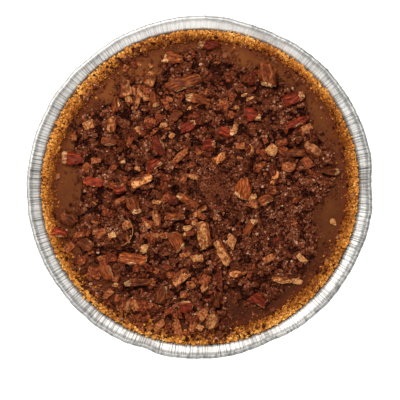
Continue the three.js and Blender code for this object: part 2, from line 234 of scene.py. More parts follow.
@dataclass(frozen=True)
class FoilFinish:
    """Thin aluminium foil, a little crinkled, with painted shade along its pleat folds and fine streaks, at
    its right side and under its rolled rim, which the attribute crease marks.
    """

    colour: Colour = (0.7, 0.685, 0.65)
    duller: Colour = (0.58, 0.565, 0.53)
    # The colour of the painted shade in the pleat folds, the fine streaks and under the rolled rim.
    crease: Colour = (0.16, 0.155, 0.145)
    roughness: float = 0.58
    crinkle: float = 3.5 * MM

    def material(self) -> Material:
        """The foil's material."""
        shader = Shader("bright_foil")
        folds = shader.noise(self.crinkle, 2.0)
        smears = shader.noise(18 * MM, 3.0)
        scratch = shader.noise(1.2 * MM, 2.0)
        sheet = shader.mix(smears.ramp(0.35, 0.75), self.colour, self.duller)
        # Painted shade: where the tin marks it, the sheet is mixed towards the dark shade colour.
        crease = (shader.attribute("crease") * (0.6 + 0.8 * scratch)).clamped()
        return shader.finish(
            Base_Color=shader.mix(crease, sheet, self.crease),
            Metallic=1.0,
            Roughness=self.roughness - 0.06 + 0.16 * smears,
            Normal=shader.bump(folds + 0.15 * scratch, 0.3 * MM, 0.7),
        )


@dataclass(frozen=True)
class CrumbFinish:
    """Baked crumbs or chips: each has its own tone, kept on the mesh as the attribute tone.

    Attributes:
        name: The material's name.
        stops: Colours from the darkest tone to the lightest.
        roughness: How dull the crumbs are.
        speckle: Grain of the fine relief.
        blot: Width of the blots of another tone on one crumb.
        mottle: How much the blots change the tone.
        grainy: How much the fine grain changes the tone.
    """

    name: str
    stops: Stops
    roughness: float = 0.8
    speckle: float = 0.5 * MM
    blot: float = 2.2 * MM
    mottle: float = 0.3
    grainy: float = 0.8

    def material(self) -> Material:
        """The crumbs' material."""
        shader = Shader(self.name)
        tone = shader.attribute("tone")
        fine = shader.noise(self.speckle, 2.0)
        blots = shader.noise(self.blot, 2.0)
        shade = tone + self.grainy * (fine - 0.5) + self.mottle * (blots - 0.5)
        return shader.finish(
            Base_Color=shader.stops(shade.clamped(), self.stops),
            Roughness=self.roughness,
            Specular_IOR_Level=0.05,
            Normal=shader.bump(0.5 * fine + self.mottle * blots, 0.8 * MM, 0.8),
        )


@dataclass(frozen=True)
class CrumbBedFinish:
    """A pressed bed of crumbs: cells of their own tone with dark joints, and painted shade in its low spots,
    which the attribute pit marks.

    Attributes:
        name: The material's name.
        stops: Colours from the darkest tone to the lightest.
        joint: Colour between the crumbs.
        grain: Width of a crumb.
    """

    name: str
    stops: Stops
    joint: Colour
    grain: float = 1.1 * MM

    def material(self) -> Material:
        """The bed's material."""
        shader = Shader(self.name)
        own = shader.node("ShaderNodeSeparateColor", {}, {0: shader.cells(self.grain, "Color")})
        distance = shader.cells(self.grain)
        fine = shader.noise(0.5 * MM, 2.0)
        patches = shader.noise(7 * MM, 2.0)
        pit = shader.attribute("pit")
        tone = 0.6 * own + 0.3 * fine + 0.6 * (patches - 0.5)
        colour = shader.stops(tone.clamped(), self.stops)
        # Dark joints between the cells, plus painted shade where the bed is low.
        dark = (distance.ramp(0.35, 0.75) + pit).clamped()
        relief = 1 - distance + 0.3 * fine
        return shader.finish(
            Base_Color=shader.mix(dark, colour, self.joint),
            Roughness=0.85,
            Specular_IOR_Level=0.04,
            Normal=shader.bump(relief, 0.6 * MM, 0.8),
        )


@dataclass(frozen=True)
class FillingFinish:
    """Baked pumpkin filling: mottled brown, darker towards the lower right and redder at its edge."""

    light: Colour = (0.15, 0.04, 0.0066)
    dark: Colour = (0.024, 0.0043, 0.001)
    burnt: Colour = (0.085, 0.015, 0.003)

    def material(self) -> Material:
        """The filling's material."""
        shader = Shader("pumpkin_filling")
        blots = shader.noise(16 * MM, 3.0)
        fine = shader.noise(1.4 * MM, 3.0)
        x, y = shader.axis("X"), shader.axis("Y")
        shade = 0.46 + 1.6 * x - 3.7 * y + 7.0 * y * y + 0.8 * (blots - 0.5) + 0.3 * (fine - 0.5)
        edge = (shader.attribute("edge") + 0.8 * (blots - 0.5) + 0.5 * (fine - 0.5)).clamped()
        baked = shader.mix(shade.clamped(), self.light, self.dark)
        return shader.finish(
            Base_Color=shader.mix(0.8 * edge, baked, self.burnt),
            Roughness=0.5 + 0.2 * fine,
            Specular_IOR_Level=0.06,
            Normal=shader.bump(fine + blots, 0.25 * MM, 0.5),
        )


class NutTone(Enum):
    """The colours that the pecan pieces come in: skin, then broken flesh."""

    RED = ((0.235, 0.0265, 0.0083), (0.56, 0.225, 0.075))
    BROWN = ((0.25, 0.053, 0.0137), (0.58, 0.25, 0.082))
    ORANGE = ((0.29, 0.059, 0.0138), (0.6, 0.26, 0.085))
    TAN = ((0.22, 0.042, 0.0095), (0.42, 0.142, 0.037))
    CREAM = ((0.25, 0.052, 0.0125), (0.53, 0.195, 0.052))


def scaled(colour: Colour, factors: Triple) -> Colour:
    """A colour whose parts are multiplied, each to 0.9 at most."""
    return tuple(min(0.9, part * factor) for part, factor in zip(colour, factors))


@dataclass(frozen=True)
class NutFinish:
    """Pecan skin and flesh, with painted highlight and painted shade along the skin's streaks and painted
    shade in its furrows: the attribute flesh says where the nut is broken, and bright how light it is.
    """

    tone: NutTone
    shadow: Colour = (0.01, 0.002, 0.001)

    def material(self) -> Material:
        """The nut's material."""
        skin_colour, flesh_colour = self.tone.value
        shader = Shader(f"pecan_{self.tone.name.lower()}")
        along = shader.node("ShaderNodeUVMap", {"uv_map": "grain"}, {})
        streaks = shader.noise(1.0, 3.0, 0.6, along)
        fine = shader.noise(0.6 * MM, 3.0)
        blots = shader.noise(2.6 * MM, 2.0)
        mask = (shader.attribute("flesh") + 0.9 * (blots - 0.5) + 0.4 * (fine - 0.5)).ramp(0.36, 0.6)
        # The skin's own streaky tone, pushed to painted shade at its dark end and a painted highlight at its
        # light end; the dark colour also serves the painted shade below.
        darker = scaled(skin_colour, (0.32, 0.32, 0.32))
        browner = scaled(flesh_colour, (0.36, 0.2, 0.13))
        streak_highlight = scaled(skin_colour, (2.1, 2.6, 2.3))
        skin = shader.stops(streaks, ((0.34, darker), (0.52, skin_colour), (0.7, streak_highlight)))
        paler = scaled(flesh_colour, (1.9, 2.05, 3.0))
        meat = ((0.455, browner), (0.55, flesh_colour), (0.64, paler))
        flesh = shader.stops((0.5 * fine + 0.6 * blots).clamped(), meat)
        # Painted shade in the furrows and low spots, in the dark skin colour.
        pit = shader.attribute("pit")
        colour = shader.mix(pit, shader.mix(mask, skin, flesh), darker)
        return shader.finish(
            Base_Color=shader.mix(shader.attribute("bright"), self.shadow, colour),
            Roughness=0.4 + 0.35 * mask,
            Specular_IOR_Level=0.07,
            Normal=shader.bump(0.7 * streaks + 0.5 * fine, 0.5 * MM, 0.7),
        )


CRUST_STOPS = (
    (0.0, (0.06, 0.011, 0.002)),
    (0.4, (0.27, 0.073, 0.01)),
    (0.75, (0.56, 0.22, 0.036)),
    (1.0, (0.76, 0.41, 0.11)),
)
STREUSEL_STOPS = (
    (0.0, (0.019, 0.0033, 0.001)),
    (0.45, (0.12, 0.0265, 0.009)),
    (0.8, (0.27, 0.096, 0.046)),
    (1.0, (0.48, 0.28, 0.17)),
)
CHIP_STOPS = (
    (0.0, (0.045, 0.007, 0.0025)),
    (0.3, (0.16, 0.028, 0.009)),
    (0.5, (0.25, 0.062, 0.017)),
    (0.75, (0.35, 0.142, 0.048)),
    (1.0, (0.56, 0.3, 0.105)),
)


# Shapes


def smooth_step(low: float, high: float, value: float) -> float:
    """Eases from 0 at low to 1 at high."""
    share = min(1.0, max(0.0, (value - low) / (high - low)))
    return share * share * (3 - 2 * share)


def bell(degrees: float, middle: float, spread: float) -> float:
    """1 at the middle angle, falling to 0 beyond the spread, all in degrees."""
    return math.exp(-((((degrees - middle + 180) % 360 - 180) / spread) ** 2))


def near(x: float, y: float, middle: Span, spread: float) -> float:
    """How near a place is to a middle: 1 on it, falling to 0 beyond the spread."""
    return math.exp(-(((x - middle[0]) ** 2 + (y - middle[1]) ** 2) / spread**2))


def polar(radius: float, angle: float, height: float) -> Vector:
    """A point at a radius and an angle round the pie."""
    return Vector((radius * math.cos(angle), radius * math.sin(angle), height))


def disc_place(rng: np.random.Generator, reach: float) -> tuple[float, float, float]:
    """Draws a place on a disc: its radius, x and y."""
    radius = reach * math.sqrt(rng.random())
    angle = rng.uniform(0, TURN)
    return radius, radius * math.cos(angle), radius * math.sin(angle)


def crumb_size(rng: np.random.Generator, size: float, width: Span, height: Span) -> Triple:
    """Draws a crumb's length, width and height from the shares that its width and height may have."""
    return size, size * rng.uniform(*width), size * rng.uniform(*height)


def cloud(point: Vector, grain: float, octaves: int = 3) -> float:
    """Noise of about -1 to 1 at a point, whose blots are one grain wide."""
    return noise.fractal(point / grain, 1.0, 2.0, octaves)


def drift(point: Vector) -> Vector:
    """Three unlike noises of about -1 to 1 at a point, taken far apart."""
    apart = (Vector((9.3, 1.5, 8.0)), Vector((31.7, 5.2, 2.6)), Vector((3.4, 47.1, 19.8)))
    return Vector([noise.noise(point + offset) for offset in apart])


def link(mesh: bpy.types.Mesh, name: str, material: Material) -> Piece:
    """Makes an object of a mesh, and lets it ride on the pie.

    Args:
        mesh: The finished mesh.
        name: The piece's name.
        material: Its finish.

    Returns:
        The new piece.
    """
    mesh.name = name
    mesh.materials.append(material)
    piece = bpy.data.objects.new(name, mesh)
    bpy.context.scene.collection.objects.link(piece)
    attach(piece, BODY)
    log.info("%s: %d faces", name, len(mesh.polygons))
    return piece


def put_numbers(mesh: bpy.types.Mesh, name: str, values: list[float] | np.ndarray) -> None:
    """Keeps one number for each point of a mesh."""
    layer = mesh.attributes.new(name, "FLOAT", "POINT")
    layer.data.foreach_set("value", np.asarray(values, dtype=np.float32))


def mesh_of(work: BMesh, **numbers: list[float]) -> bpy.types.Mesh:
    """Turns a working mesh into a finished smooth one and frees it.

    Args:
        work: The working mesh.
        **numbers: Attributes to keep on it, with one number for each point.

    Returns:
        The finished mesh.
    """
    for face in work.faces:
        face.smooth = True
    mesh = bpy.data.meshes.new("mesh")
    work.to_mesh(mesh)
    work.free()
    for name, values in numbers.items():
        put_numbers(mesh, name, values)
    return mesh


def solid_copy(node: str) -> BMesh:
    """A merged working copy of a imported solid's mesh."""
    work = bmesh.new()
    work.from_mesh(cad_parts[node].data)
    bmesh.ops.remove_doubles(work, verts=work.verts, dist=0.01 * MM)
    return work


def soften(work: BMesh) -> None:
    """Smooths the points of a working mesh once."""
    axes = {"use_axis_x": True, "use_axis_y": True, "use_axis_z": True}
    bmesh.ops.smooth_vert(work, verts=work.verts, factor=0.5, **axes)


def round_pie(vert: bmesh.types.BMVert) -> Span:
    """A point's radius and its angle round the pie."""
    return math.hypot(vert.co.x, vert.co.y), math.atan2(vert.co.y, vert.co.x)


def moved_out(vert: bmesh.types.BMVert, stretch: float) -> None:
    """Moves a point away from the pie's axis by a factor."""
    vert.co.x *= stretch
    vert.co.y *= stretch


def spun(profile: list[Span], steps: int, doublings: int = 5) -> BMesh:
    """Spins a profile of (radius, height) points right round, from the axis underneath to the axis on top.

    One narrow sector is spun, then doubled until it goes right round, which is quicker for many columns.

    Args:
        profile: Its points, in metres.
        steps: How many columns the turn has.
        doublings: How often the sector is doubled.

    Returns:
        A closed working mesh whose faces point out.
    """
    work = bmesh.new()
    points = [work.verts.new((r, 0.0, z)) for r, z in profile]
    for first, second in zip(points, points[1:]):
        work.edges.new((first, second))
    geometry = list(work.verts) + list(work.edges)
    sector = TURN / 2**doublings
    steps = max(1, steps // 2**doublings)
    bmesh.ops.spin(work, geom=geometry, axis=(0, 0, 1), steps=steps, angle=sector)
    for number in range(doublings):
        copy = bmesh.ops.duplicate(work, geom=work.verts[:] + work.edges[:] + work.faces[:])
        verts = [item for item in copy["geom"] if isinstance(item, bmesh.types.BMVert)]
        bmesh.ops.rotate(work, verts=verts, matrix=Matrix.Rotation(sector * 2**number, 3, "Z"))
    bmesh.ops.remove_doubles(work, verts=work.verts, dist=0.002 * MM)
    bmesh.ops.recalc_face_normals(work, faces=work.faces)
    return work


def drawn(corners: list[Span], longest: float) -> list[Span]:
    """A profile with extra points, so that no stretch between them is longer than asked."""
    points = [corners[0]]
    for (r0, z0), (r1, z1) in zip(corners, corners[1:]):
        parts = max(1, math.ceil(math.hypot(r1 - r0, z1 - z0) / longest))
        for i in range(1, parts + 1):
            points.append((r0 + (r1 - r0) * i / parts, z0 + (z1 - z0) * i / parts))
    return points


@dataclass(frozen=True)
class Oval:
    """The pie's small ovalness, which grows from nothing at the base to its full amount at the rim."""

    amount: float = 0.008
    angle: float = math.radians(20)
    height: float = 31 * MM

    def moved(self, point: Vector) -> Vector:
        """The point's place in the oval pie."""
        turn = math.atan2(point.y, point.x)
        stretch = 1 + self.amount * point.z / self.height * math.cos(2 * (turn - self.angle))
        return Vector((point.x * stretch, point.y * stretch, point.z))


OVAL = Oval()


class Ground:
    """What lies under a crumb: the highest surface at a place on the pie."""

    def __init__(self, *pieces: Piece) -> None:
        """Keeps one search tree of all the pieces."""
        work = bmesh.new()
        for piece in pieces:
            work.from_mesh(piece.data)
        self.tree = BVHTree.FromBMesh(work)
        work.free()

    def top(self, x: float, y: float) -> float | None:
        """The height of the highest surface at a place, or None beside them all."""
        hit = self.tree.ray_cast(Vector((x, y, 0.1)), Vector((0, 0, -1)))[0]
        return None if hit is None else hit.z


class GrainShape(Enum):
    """The rough shapes that are strewn over the pie."""

    CRUMB = "crumb"
    CLUMP = "clump"
    CHIP = "chip"


@dataclass
class Grains:
    """Many copies of a small rough shape, joined in one mesh.

    Attributes:
        finish: Their finish, whose name the piece has too.
        slot: The record's material slot; it is not used.
        shape: What kind of shape it is.
        tilt: How far a copy may be tilted.
        rows: For each copy, its middle (three numbers), length, width, height, tone and turn about Z.
    """

    finish: CrumbFinish
    slot: str
    shape: GrainShape = GrainShape.CRUMB
    tilt: float = math.pi
    rows: list[tuple[float, ...]] = field(default_factory=list)

    def add(self, place: Triple, size: Triple, tone: float, turn: float) -> None:
        """Adds one copy."""
        self.rows.append((*place, *size, tone, turn))

    def _shape(self, seed: int) -> BMesh:
        """One rough shape, one unit across."""
        rng = np.random.default_rng(seed)
        work = bmesh.new()
        rough = 0.22
        if self.shape is GrainShape.CHIP and seed % 2:
            rough, lobes = 0.05, 2.6
            bmesh.ops.create_icosphere(work, subdivisions=2, radius=0.5)
            for vert in work.verts:
                vert.co *= 1 + 0.55 * noise.noise(vert.co * lobes + Vector((seed, 0, 0)))
        elif self.shape is GrainShape.CHIP:
            rough = 0.06
            bmesh.ops.create_cube(work, size=0.86)
            for vert in work.verts:
                vert.co += Vector(rng.uniform(-0.2, 0.2, 3).tolist())
            bmesh.ops.bevel(work, geom=work.edges[:], offset=0.09, affect="EDGES", segments=1, profile=0.5)
        else:
            detail = 2 if self.shape is GrainShape.CLUMP else 1
            bmesh.ops.create_icosphere(work, subdivisions=detail, radius=0.5)
        for vert in work.verts:
            vert.co *= rng.uniform(1 - rough, 1 + rough)
        bmesh.ops.triangulate(work, faces=work.faces)
        return work

    def build(self, seed: int, shapes: int = 5) -> Piece:
        """Joins the copies in one piece.

        Args:
            seed: Start of the random draw.
            shapes: How many different shapes there are.

        Returns:
            The piece.
        """
        rng = np.random.default_rng(seed)
        rows = np.array(self.rows)
        tilts = rng.uniform(-self.tilt, self.tilt, len(rows))
        points, faces, tones = [], [], []
        start = 0
        for kind in range(shapes):
            work = self._shape(seed * 10 + kind)
            shape = np.array([vert.co[:] for vert in work.verts])
            triangles = np.array([[vert.index for vert in face.verts] for face in work.faces])
            work.free()
            chosen = np.arange(len(rows)) % shapes == kind
            copies = self._laid(shape, rows[chosen], tilts[chosen])
            count = len(copies)
            offsets = start + np.arange(count)[:, None, None] * len(shape)
            points.append(copies.reshape(-1, 3))
            faces.append((triangles[None, :, :] + offsets).reshape(-1, 3))
            tones.append(np.repeat(rows[chosen, 6], len(shape)))
            start += count * len(shape)
        mesh = bpy.data.meshes.new(self.finish.name)
        mesh.from_pydata(np.concatenate(points), [], np.concatenate(faces), shade_flat=True)
        put_numbers(mesh, "tone", np.concatenate(tones))
        return link(mesh, self.finish.name, self.finish.material())

    @staticmethod
    def _laid(shape: np.ndarray, rows: np.ndarray, tilts: np.ndarray) -> np.ndarray:
        """Copies of a shape, tilted about X, sized, turned about Z, then put in their places.

        Args:
            shape: The points of one shape.
            rows: The row of each copy.
            tilts: Tilt of each copy.

        Returns:
            The points of every copy.
        """
        x, y, z = shape.T
        cos_tilt, sin_tilt = np.cos(tilts)[:, None], np.sin(tilts)[:, None]
        across = y * cos_tilt - z * sin_tilt
        up = y * sin_tilt + z * cos_tilt
        length, width, height, turn = rows[:, 3:4], rows[:, 4:5], rows[:, 5:6], rows[:, 7:8]
        x = x * length
        across = across * width
        up = up * height
        cos_turn, sin_turn = np.cos(turn), np.sin(turn)
        turned = np.stack([x * cos_turn - across * sin_turn, x * sin_turn + across * cos_turn, up], axis=2)
        return turned + rows[:, None, 0:3]


# The foil tin


@dataclass
class FoilTin:
    """The pleated foil tin with its rolled rim.

    Attributes:
        base: Radius of the flat base.
        wall_foot: Radius and height where the wall starts.
        wall_top: Radius and height where the wall bends into the flange.
        flange_top: Height of the flange beside the curl.
        rim: Outer radius.
        height: Height of the tin.
        curl: Width and drop of the rolled rim.
        foil: Thickness of the sheet.
        pleats: How many pleats go round.
        pleat_depth: How far a full pleat stands out.
        columns: How finely the tin is divided round.
        dents: Angle, depth and spread of each dent in the rim.
        calms: Angle, amount and spread of the stretches where the pleats are pressed flat.
    """

    base: float = 86 * MM
    wall_foot: Span = (87.6 * MM, 2 * MM)
    wall_top: Span = (106.9 * MM, 27.6 * MM)
    flange_top: float = 29.4 * MM
    rim: float = 115 * MM
    height: float = 31 * MM
    curl: Span = (3.8 * MM, 4 * MM)
    foil: float = 0.45 * MM
    pleats: int = 380
    pleat_depth: float = 0.12 * MM
    columns: int = 1920
    dents: tuple[Triple, ...] = (
        (1, 1.6 * MM, 5), (-66, 1.5 * MM, 9), (66, 1.1 * MM, 14), (-109, 1.3 * MM, 5),
        (128, 0.9 * MM, 8),
    )
    calms: tuple[Triple, ...] = ((80, 0.85, 44), (-62, 0.35, 14))
    seed: int = 5

    def _profile(self) -> list[Span]:
        """The tin's section, from the axis underneath, up the outside, over the curl and down the inside."""
        foot_r, foot_z = self.wall_foot
        top_r, top_z = self.wall_top
        curl_width, curl_drop = self.curl
        curl_in = self.rim - curl_width
        thick = self.foil
        curl_middle = (self.rim - 0.5 * curl_width, self.height - 0.5 * curl_drop)
        arc = []
        for step in range(13):
            angle = math.radians(205 + step * 270 / 12)
            r = curl_middle[0] + 0.5 * curl_width * math.cos(angle)
            arc.append((r, curl_middle[1] + 0.5 * curl_drop * math.sin(angle)))
        outside = [(0, 0), (self.base, 0)]
        outside += drawn([
            (foot_r + 0.8 * thick, foot_z - 0.6 * thick),
            (top_r + 0.8 * thick, top_z - 0.6 * thick),
        ], 7 * MM)
        outside += drawn([
            (top_r + 1.2 * MM, top_z + 0.5 * MM - thick),
            (curl_in - 0.2 * MM, self.flange_top - thick),
        ], 1.6 * MM)
        inside = drawn([
            (curl_in + 0.1 * MM, self.flange_top),
            (top_r + 1.2 * MM, top_z + 0.5 * MM),
            (top_r, top_z),
        ], 1.3 * MM)
        inside += drawn([(top_r - 1.5 * MM, top_z - 2 * MM), (foot_r, foot_z)], 7 * MM)
        return outside + arc + inside + [(self.base - thick, thick), (0, thick)]

    def _pleat_edges(self) -> tuple[np.ndarray, np.ndarray]:
        """Angles where the pleats meet, and how strong each pleat is."""
        rng = np.random.default_rng(self.seed)
        widths = rng.uniform(0.35, 1.65, self.pleats)
        edges = np.concatenate([[0.0], np.cumsum(widths)]) / widths.sum() * TURN
        return edges, rng.uniform(0.2, 1.0, self.pleats)

    def _pleat_share(self, radius: float, z: float) -> float:
        """How much the pleats show at a place on the section."""
        foot_r = self.wall_foot[0]
        top_r = self.wall_top[0]
        rising = smooth_step(foot_r - 1 * MM, top_r, radius)
        falling = 1 - smooth_step(self.rim - 0.6 * self.curl[0], self.rim - 0.2 * self.curl[0], radius)
        return (0.25 + 0.75 * rising) * falling * smooth_step(0.3 * MM, 3 * MM, z)

    def _calm(self, angle: float) -> float:
        """How strong the pleats are at an angle: the top of the photograph is nearly smooth."""
        total = 1.0
        for middle, amount, spread in self.calms:
            total -= amount * bell(math.degrees(angle), middle, spread)
        return total

    def build(self) -> Piece:
        """Makes the tin in place of its plain solid."""
        work = spun(self._profile(), self.columns)
        edges, strengths = self._pleat_edges()
        # Painted shade for the sheet, kept on the points as the attribute crease.
        crease_shades = []
        for vert in work.verts:
            radius, angle = round_pie(vert)
            if radius < self.base - 1 * MM:
                crease_shades.append(0.0)
                continue
            angle %= TURN
            index = min(int(np.searchsorted(edges, angle, side="right")) - 1, self.pleats - 1)
            share = (angle - edges[index]) / (edges[index + 1] - edges[index])
            ridge = 1 - 1.9 * abs(2 * share - 1) ** 1.6
            strength = strengths[index] * self._calm(angle)
            shown = self._pleat_share(radius, vert.co.z)
            push = 0.5 * self.pleat_depth * strength * ridge * shown
            from_crease = min(share, 1 - share) * (edges[index + 1] - edges[index]) * radius
            # Painted shade: a thin dark line along each pleat fold.
            line = 1.25 * strength * (1 - smooth_step(0.1 * MM, 0.48 * MM, from_crease))
            around = polar(1, angle, 0.2 * radius / self.rim) * self.rim
            # Painted shade: fine dark streaks round the sheet, and the right side of the tin darkened.
            streak_shade = 0.26 * smooth_step(0.0, 0.5, cloud(around, 1.1 * MM, 2))
            streak_shade = streak_shade * (0.4 + 0.6 * self._calm(angle)) + 0.2 * bell(math.degrees(angle), 0, 24)
            # Painted shade under the rolled rim and along its outer edge: darker at the bottom, lighter at
            # the top and left.
            inside_curl = smooth_step(self.rim - 0.95 * self.curl[0], self.rim - 0.75 * self.curl[0], radius)
            under = (0.6 - 0.12 * math.sin(angle) + 0.3 * min(0.0, math.cos(angle))) * inside_curl
            under += 0.12 * smooth_step(self.rim - 1.4 * MM, self.rim - 0.3 * MM, radius)
            under *= 0.75 + 0.55 * smooth_step(-0.15, 0.4, cloud(around, 1.7 * MM, 2))
            crease_shades.append(min(1.0, max(shown * (line + streak_shade), under)))
            near_rim = smooth_step(self.wall_top[0], self.rim - self.curl[0], radius)
            wave = 0.35 * MM * near_rim * cloud(polar(1, angle, 0), 0.16)
            inward = 0.55 * MM * near_rim * cloud(polar(1, angle, 0.7), 0.13, 2)
            inward += 0.3 * MM * near_rim * cloud(polar(1, angle, 0.1), 0.035, 2)
            for middle, depth, spread in self.dents:
                inward += depth * near_rim * bell(math.degrees(angle), middle, spread)
            moved_out(vert, 1 - (inward + 0.6 * push) / radius)
            vert.co.z = max(0.0, vert.co.z + 0.7 * push + wave)
            vert.co = OVAL.moved(vert.co)
        piece = link(mesh_of(work, crease=crease_shades), "tin_foil", FoilFinish().material())
        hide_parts("foil_tin")
        return piece


# The crust and the filling


@dataclass
class Crust:
    """The pressed crumb crust with its ragged top, and loose crumbs on it.

    Attributes:
        floor: Height of the underside and of the inside of the crust's floor.
        foot_inside: Radius of the filling at the floor.
        outer_foot: Radius and height of the outer foot.
        outer_lip: Radius and height of the outer lip.
        inner_lip: Radius and height of the inner lip.
        top: Height of the top.
        level: Height at which the crumbs and lumps are spread.
        columns: How finely the crust is divided round.
        thin: Angle, depth and spread of the stretches where the wall is thinner.
        crumbs: How many loose crumbs there are.
        lumps: How many lumps of crust there are.
        chunks: Middle angle and spread of the stretch where the crust is broken into lumps.
        spilled: Middle angle and spread of the stretch where more crumbs lie on the filling.
    """

    floor: Span = (0.7 * MM, 4.6 * MM)
    foot_inside: float = 80 * MM
    outer_foot: Span = (87.3 * MM, 2.6 * MM)
    outer_lip: Span = (104.9 * MM, 26 * MM)
    inner_lip: Span = (98.3 * MM, 26.6 * MM)
    top: float = 27.6 * MM
    level: float = 27 * MM
    columns: int = 896
    thin: tuple[Triple, ...] = ((52, 2.2 * MM, 50), (200, 1.4 * MM, 14), (150, -2.0 * MM, 22))
    crumbs: int = 9200
    lumps: int = 210
    chunks: Span = (-112, 34)
    spilled: Span = (-142, 24)
    seed: int = 11

    def chunky(self, angle: float) -> float:
        """How much the crust is broken into lumps at an angle, from 0 to 1."""
        return bell(math.degrees(angle), *self.chunks)

    def thinner(self, angle: float) -> float:
        """How much thinner the wall is at an angle."""
        return sum(depth * bell(math.degrees(angle), middle, spread) for middle, depth, spread in self.thin)

    def ragged(self, angle: float) -> float:
        """How far the inner edge wanders in and out at an angle."""
        return 1.3 * MM * cloud(polar(1, angle, 0.3), 0.055)

    def _inner(self, angle: float) -> float:
        """Radius of the inner edge at an angle."""
        return self.inner_lip[0] + self.thinner(angle) + self.ragged(angle)

    def _profile(self) -> list[Span]:
        """The crust's section, from the axis underneath, up the outside, over and down the inside."""
        outer_r, outer_z = self.outer_lip
        inner_r, inner_z = self.inner_lip
        coarse = [(0, self.floor[0]), (83 * MM, self.floor[0]), self.outer_foot]
        coarse += [(outer_r - 2.7 * MM, 22 * MM)]
        fine = drawn([
            (outer_r, outer_z),
            (outer_r + 0.1 * MM, self.top - 0.3 * MM),
            (outer_r - 3 * MM, self.top + 0.4 * MM),
            (inner_r + 1.6 * MM, self.top + 0.1 * MM),
            (inner_r, inner_z),
            (inner_r - 0.9 * MM, 24 * MM),
        ], 0.75 * MM)
        return coarse + fine + [(self.foot_inside, self.floor[1]), (0, self.floor[1])]

    def build(self) -> Piece:
        """Makes the crust in place of its plain solid."""
        work = spun(self._profile(), self.columns)
        pit_shades = []
        for vert in work.verts:
            radius, angle = round_pie(vert)
            inner = 1 - smooth_step(self.inner_lip[0], self.outer_lip[0], radius)
            share = inner * smooth_step(self.floor[1], 20 * MM, vert.co.z)
            lumps = cloud(vert.co, 1.9 * MM)
            edge = cloud(vert.co, 6 * MM, 2)
            rough = smooth_step(21 * MM, 25.5 * MM, vert.co.z)
            push = share * (self.thinner(angle) + self.ragged(angle))
            push += rough * MM * (0.4 * lumps + 0.6 * edge * inner)
            moved_out(vert, 1 + push / max(radius, 1 * MM))
            vert.co.z += rough * MM * (0.6 * lumps + 0.5 * edge)
            # Painted shade: the low spots of the rough top are darkened.
            pit_shades.append(rough * max(0.0, min(0.85, -1.1 * lumps)))
            vert.co = OVAL.moved(vert.co)
        finish = CrumbBedFinish("crust_bed", CRUST_STOPS, (0.06, 0.012, 0.002))
        piece = link(mesh_of(work, pit=pit_shades), "crust_wall", finish.material())
        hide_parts("crumb_crust")
        return piece

    def heap(self, ground: Ground) -> Piece:
        """Lays lumps of crust along its top, most of them at the lower left.

        Args:
            ground: What they lie on.

        Returns:
            The lumps.
        """
        rng = np.random.default_rng(self.seed + 3)
        finish = CrumbFinish("crust_lumps", CRUST_STOPS, blot=1.4 * MM, mottle=0.75)
        grains = Grains(finish, "crumb_crust", GrainShape.CLUMP)
        while len(grains.rows) < self.lumps:
            angle = rng.uniform(0, TURN)
            chunky = self.chunky(angle)
            if rng.random() > 0.2 + 0.8 * chunky:
                continue
            inner = self._inner(angle) - (0.5 + 4 * chunky) * MM
            radius = rng.uniform(inner, self.outer_lip[0] - 0.8 * MM)
            spot = OVAL.moved(polar(radius, angle, self.level))
            top = ground.top(spot.x, spot.y)
            if top is None:
                continue
            size = (1.8 + (1.0 + 2.4 * chunky) * rng.random() ** 1.5) * MM
            flat = crumb_size(rng, size, (0.6, 0.9), (0.5, 0.75))
            tone = rng.normal(0.5, 0.15)
            grains.add((spot.x, spot.y, top + 0.1 * size), flat, tone, rng.uniform(0, TURN))
        return grains.build(self.seed + 3, 8)

    def strew(self, ground: Ground, streusel: "Streusel") -> Piece:
        """Lays loose golden crumbs on the crust's top and a few inside it.

        Args:
            ground: What they lie on.
            streusel: The topping, which covers the crust in places.

        Returns:
            The crumbs.
        """
        rng = np.random.default_rng(self.seed)
        grains = Grains(CrumbFinish("crust_crumbs", CRUST_STOPS, grainy=0.5), "crumb_crust")
        while len(grains.rows) < self.crumbs:
            angle = rng.uniform(0, TURN)
            inner = self._inner(angle)
            chunky = self.chunky(angle)
            spill = rng.random() < 0.045 + 0.16 * bell(math.degrees(angle), *self.spilled)
            beyond = 0.1 * MM + 1.5 * MM * max(0.0, cloud(polar(1, angle, 2), 0.03))
            radius = rng.uniform(inner - 0.8 * MM, self.outer_lip[0] + beyond)
            if spill:
                radius = inner - abs(rng.normal(0, 2.6 * MM))
            spot = OVAL.moved(polar(radius, angle, self.level))
            top = ground.top(spot.x, spot.y)
            covered = streusel.spill(math.degrees(angle)) * (1 - smooth_step(100 * MM, 104 * MM, radius))
            if top is None or rng.random() < 0.85 * covered:
                continue
            if radius > self.outer_lip[0]:
                top = max(top, self.level)
            size = (0.65 + (1.7 + 1.0 * chunky) * rng.random() ** (2.0 + 1.2 * chunky)) * MM
            outer = smooth_step(inner, self.outer_lip[0], radius)
            patch = 0.17 * cloud(spot, 6 * MM, 2) + 0.2 * cloud(spot, 19 * MM, 2) + 0.38 * (outer - 0.44)
            tone = rng.normal(0.53, 0.12) + patch
            flat = crumb_size(rng, size, (0.6, 1.0), (0.6, 0.95))
            lift = size * rng.uniform(-0.05, 0.3)
            grains.add((spot.x, spot.y, top + lift), flat, tone, rng.uniform(0, TURN))
        return grains.build(self.seed)


